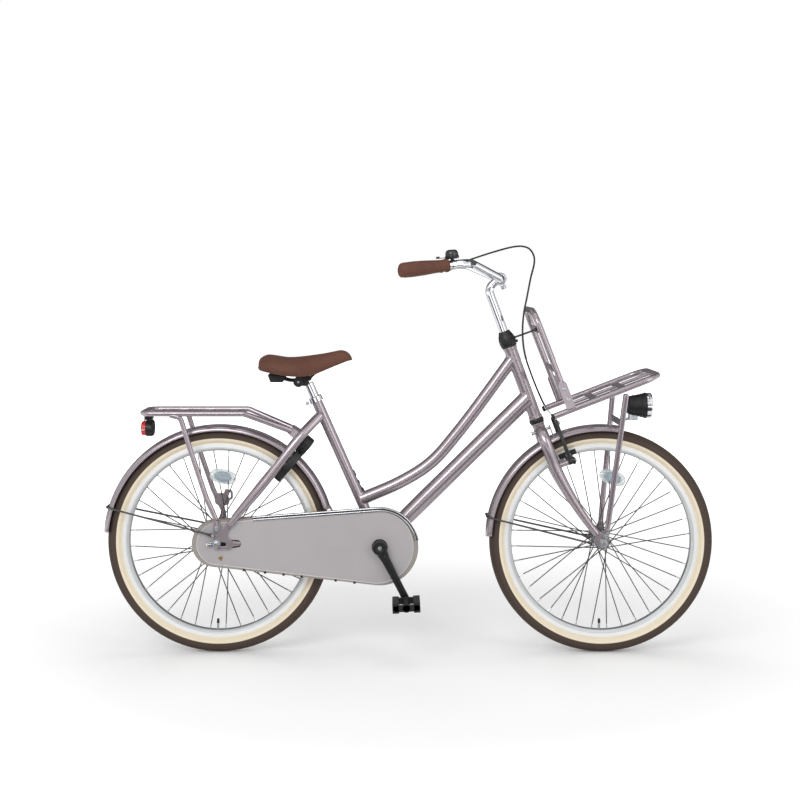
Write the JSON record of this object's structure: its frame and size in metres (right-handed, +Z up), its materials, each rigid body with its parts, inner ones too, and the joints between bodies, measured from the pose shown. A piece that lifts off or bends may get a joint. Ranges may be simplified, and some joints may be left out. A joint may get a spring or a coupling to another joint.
{
  "type": "dutch city bike",
  "caption": "Child's dutch city bike with front and rear load carriers, a full chain case, fenders, lamps, a ring lock, a hand rim brake and swept-back bars.",
  "frame": {"origin": "on the floor between the two tyre contacts, at the middle of the bike's overall length and in its centre plane", "axes": "+X points forwards along the bike, +Y to the rider's left, +Z up"},
  "size_m": [1.6368, 0.599, 1.0951],
  "materials": {
    "frame_paint": "metallic grey lilac lacquer, glossy",
    "case_cloth": "matt grey coated chain case skin",
    "chrome": "polished",
    "hub_steel": "satin bright steel",
    "dark_steel": "oiled dark steel",
    "black_plastic": "fine grained black plastic",
    "black_paint": "gloss black paint",
    "rim_alloy": "bright anodised",
    "tyre_rubber": "cream sidewall with a brown tread",
    "brown_leather": "brown imitation leather",
    "red_lens": "clear red moulding",
    "clear_lens": "clear lens in a bright ring"
  },
  "bodies": {
    "frame": {"bottom_bracket_shell": "frame_paint", "head_tube": "frame_paint", "seat_tube": "frame_paint", "down_tube": "frame_paint", "upper_tube": "frame_paint", "left_chain_stay": "frame_paint", "right_chain_stay": "frame_paint", "left_seat_stay": "frame_paint", "right_seat_stay": "frame_paint", "rear_axle": "hub_steel", "chain": "dark_steel", "chain_case": "case_cloth", "chain_case_trim": "chrome", "rear_fender": "frame_paint", "rear_fender_stay": "dark_steel", "rear_rack": "frame_paint", "rear_rack_right_leg": "frame_paint", "rear_rack_left_leg": "frame_paint", "rear_light": "black_plastic", "rear_light_lens": "red_lens", "lock_housing": "black_plastic", "seat_clamp": "chrome"},
    "lock_bolt": {"lock_bolt": "chrome"},
    "seat": {"seat_post": "chrome", "saddle": "brown_leather", "saddle_frame": "black_plastic"},
    "rear_wheel": {"rear_tyre": "tyre_rubber", "rear_rim": "rim_alloy", "rear_hub": "hub_steel"},
    "sprocket": {"sprocket": "dark_steel"},
    "crankset": {"right_crank": "black_paint", "left_crank": "black_paint"},
    "right_pedal": {"right_pedal": "black_plastic"},
    "left_pedal": {"left_pedal": "black_plastic"},
    "steering": {"fork": "frame_paint", "lower_headset": "black_plastic", "headset_cover": "black_plastic", "stem": "chrome", "handlebar": "chrome", "right_grip": "brown_leather", "left_grip": "brown_leather", "brake_lever_mount": "black_plastic", "brake_cable": "black_plastic", "bell": "black_plastic", "front_fender": "frame_paint", "front_fender_stay": "dark_steel", "front_axle": "hub_steel", "front_carrier": "frame_paint", "carrier_backrest": "frame_paint", "carrier_strut": "black_paint", "carrier_legs": "frame_paint", "headlight": "black_plastic", "headlight_lens": "clear_lens"},
    "front_wheel": {"front_tyre": "tyre_rubber", "front_rim": "rim_alloy", "front_hub": "hub_steel"},
    "brake_lever": {"brake_lever": "black_plastic"},
    "right_brake_arm": {"right_brake_arm": "black_plastic"},
    "left_brake_arm": {"left_brake_arm": "black_plastic"},
    "bell_lever": {"bell_lever": "black_plastic"}
  },
  "joints": [
    {"name": "steering_turn", "type": "hinge", "parent": "frame", "child": "steering", "pos_m": [0.34383, 0, 0.62699], "axis": [-0.3453, 0, 0.9385], "range_deg": [-55, 55]},
    {"name": "front_wheel_spin", "type": "hinge", "parent": "steering", "child": "front_wheel", "pos_m": [0.51787, 0, 0.3005], "axis": [0, 1, 0], "continuous": true},
    {"name": "rear_wheel_spin", "type": "hinge", "parent": "frame", "child": "rear_wheel", "pos_m": [-0.50813, 0, 0.3005], "axis": [0, 1, 0], "continuous": true},
    {"name": "crank_spin", "type": "hinge", "parent": "frame", "child": "crankset", "pos_m": [-0.07613, 0, 0.292], "axis": [0, 1, 0], "continuous": true},
    {"name": "sprocket_spin", "type": "hinge", "parent": "frame", "child": "sprocket", "pos_m": [-0.50813, 0, 0.3005], "axis": [0, 1, 0], "continuous": true},
    {"name": "right_pedal_spin", "type": "hinge", "parent": "crankset", "child": "right_pedal", "pos_m": [-0.00641, 0, 0.15693], "axis": [0, 1, 0], "continuous": true},
    {"name": "left_pedal_spin", "type": "hinge", "parent": "crankset", "child": "left_pedal", "pos_m": [-0.14584, 0, 0.42707], "axis": [0, 1, 0], "continuous": true},
    {"name": "seat_height", "type": "slide", "parent": "frame", "child": "seat", "axis": [-0.4083, 0, 0.9128], "range_m": [-0.02, 0.1]},
    {"name": "lock_close", "type": "hinge", "parent": "frame", "child": "lock_bolt", "pos_m": [-0.31951, 0, 0.50224], "axis": [0.7547, 0, -0.6561], "range_deg": [0, 98]},
    {"name": "brake_lever_pull", "type": "hinge", "parent": "steering", "child": "brake_lever", "pos_m": [0.12268, 0.23069, 1.03921], "axis": [-0.0895, 0.0448, 0.995], "range_deg": [0, 14], "stiffness_Nm_per_rad": 2, "springref_deg": -5.73},
    {"name": "right_brake_close", "type": "hinge", "parent": "steering", "child": "right_brake_arm", "pos_m": [0.39034, -0.042, 0.50057], "axis": [0.9385, 0, 0.3453], "range_deg": [-3, 0]},
    {"name": "left_brake_close", "type": "hinge", "parent": "steering", "child": "left_brake_arm", "pos_m": [0.39034, 0.042, 0.50057], "axis": [0.9385, 0, 0.3453], "range_deg": [0, 3]},
    {"name": "bell_push", "type": "hinge", "parent": "steering", "child": "bell_lever", "pos_m": [0.10206, -0.21305, 1.05423], "axis": [-0.0895, -0.0448, 0.995], "range_deg": [0, 25], "stiffness_Nm_per_rad": 0.05, "springref_deg": -5.73}
  ],
  "couplings": [
    {"joint": "sprocket_spin", "follows": "crank_spin", "ratio": 2.1111},
    {"joint": "right_brake_close", "follows": "brake_lever_pull", "ratio": -0.21429},
    {"joint": "left_brake_close", "follows": "brake_lever_pull", "ratio": 0.21429}
  ]
}
